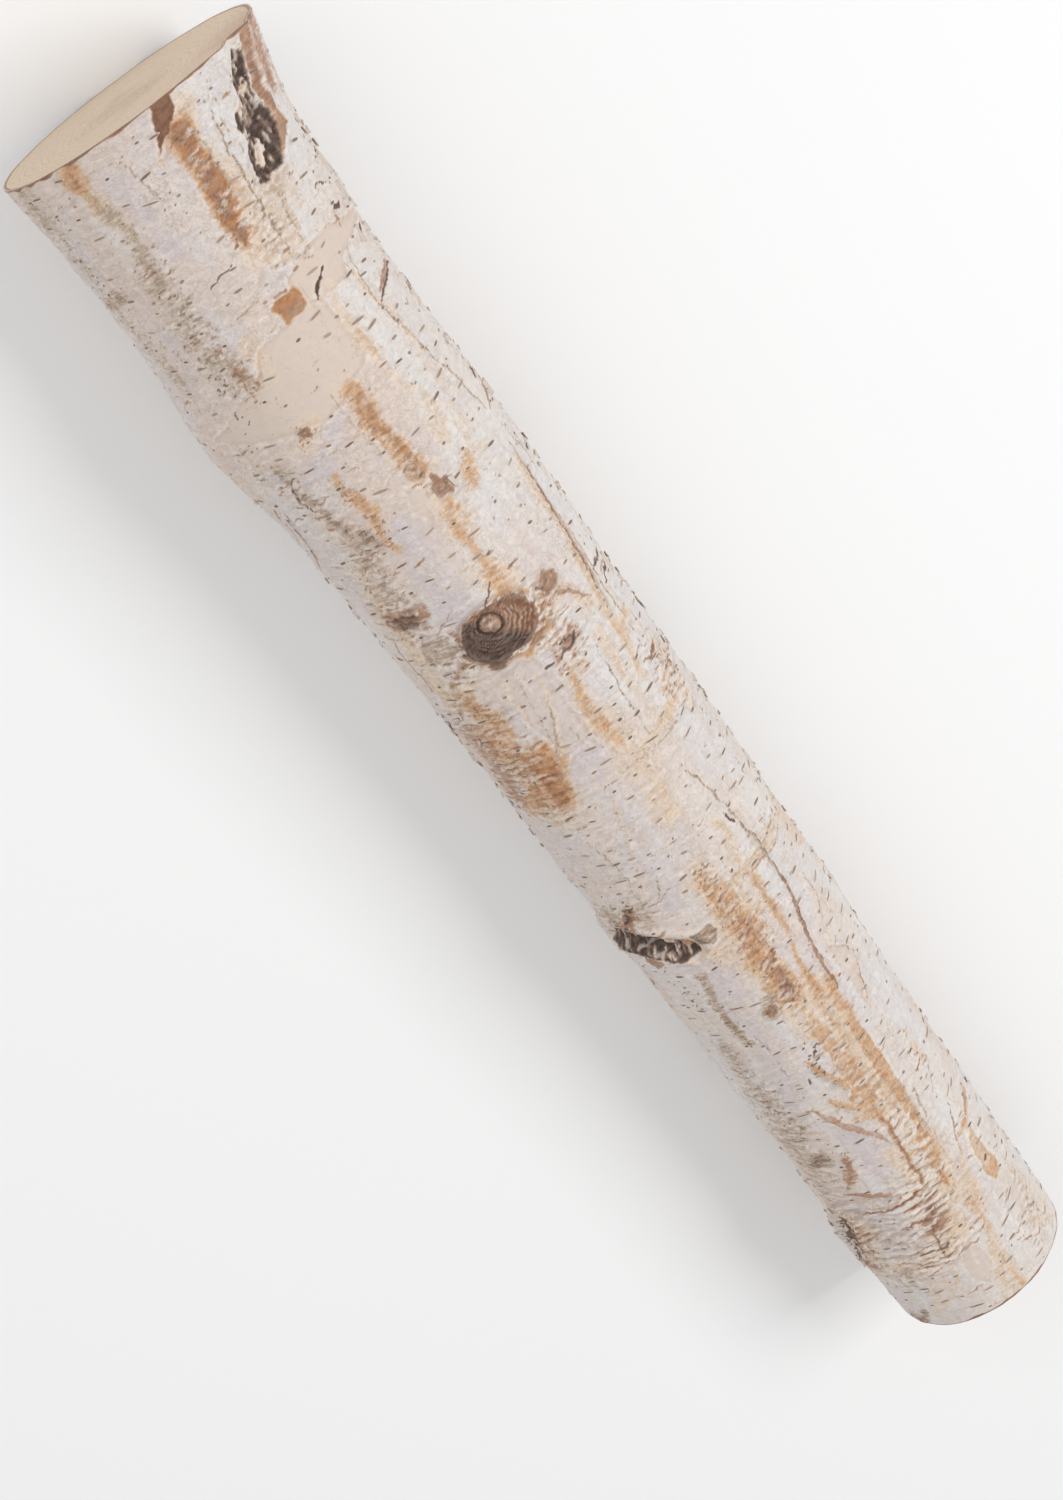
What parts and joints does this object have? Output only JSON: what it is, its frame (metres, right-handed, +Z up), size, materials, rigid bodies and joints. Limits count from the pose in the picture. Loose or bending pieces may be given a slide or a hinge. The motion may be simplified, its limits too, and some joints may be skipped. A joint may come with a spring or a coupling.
{
  "type": "birch log",
  "caption": "Short birch log with white peeling bark, a large eye-shaped knot, torn branch scars and square sawn ends, lying on its worn underside.",
  "frame": {"origin": "centre of the footprint on the ground: half way along the log, half way across it, at the height of the surface it lies on", "axes": "+X along the log towards its thick end, +Z up, +Y across"},
  "size_m": [0.43, 0.0752, 0.0757],
  "materials": {
    "white_bark": "matt papery bark"
  },
  "bodies": {
    "root": {"birch_log": "white_bark"}
  },
  "joints": []
}
